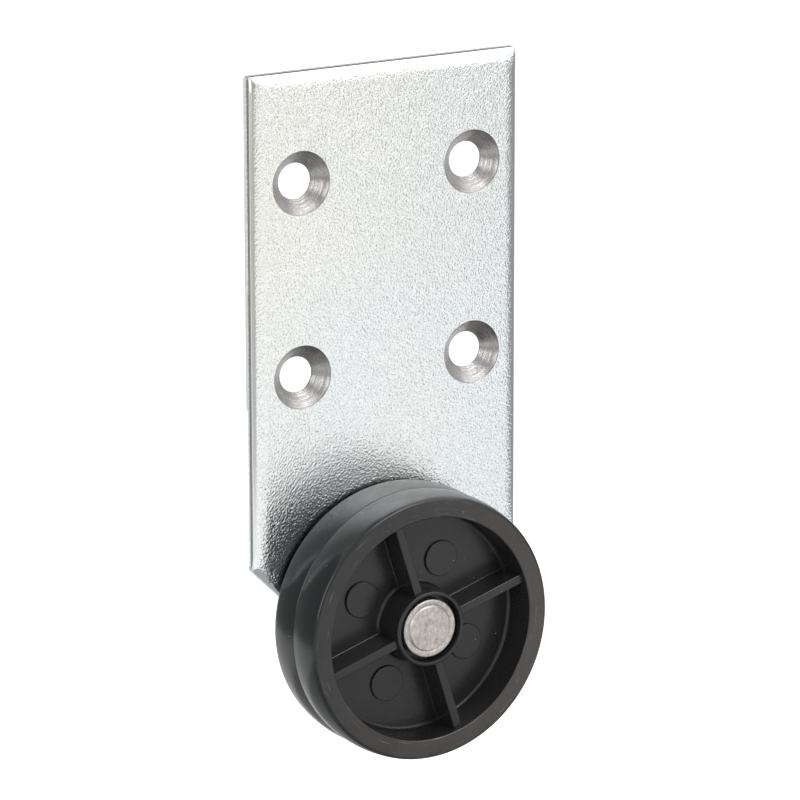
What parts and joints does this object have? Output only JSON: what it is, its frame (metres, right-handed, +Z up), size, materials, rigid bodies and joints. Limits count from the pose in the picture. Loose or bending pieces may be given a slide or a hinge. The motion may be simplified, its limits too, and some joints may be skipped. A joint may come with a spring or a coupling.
{
  "type": "side-mount roller",
  "caption": "Side-mount roller: a stamped steel plate with countersunk screw holes carries a ribbed plastic wheel on a riveted axle.",
  "frame": {"origin": "middle of the four screw holes, on the plate's back face", "axes": "+Z up the plate, away from the wheel; +Y out of the plate's back face, towards what it is screwed to; the wheel is on the -Y side"},
  "size_m": [0.05, 0.0163, 0.1137],
  "materials": {
    "zinc_plated_steel": "zinc plating over a fine blasted grain",
    "rivet_steel": "dull plated steel",
    "black_plastic": "satin, as moulded"
  },
  "bodies": {
    "bracket": {"mounting_plate": "zinc_plated_steel", "axle_rivet": "rivet_steel"},
    "roller": {"wheel": "black_plastic"}
  },
  "joints": [
    {"name": "wheel_spin", "type": "hinge", "parent": "bracket", "child": "roller", "pos_m": [0, -0.0025, -0.0575], "axis": [0, -1, 0], "continuous": true}
  ]
}
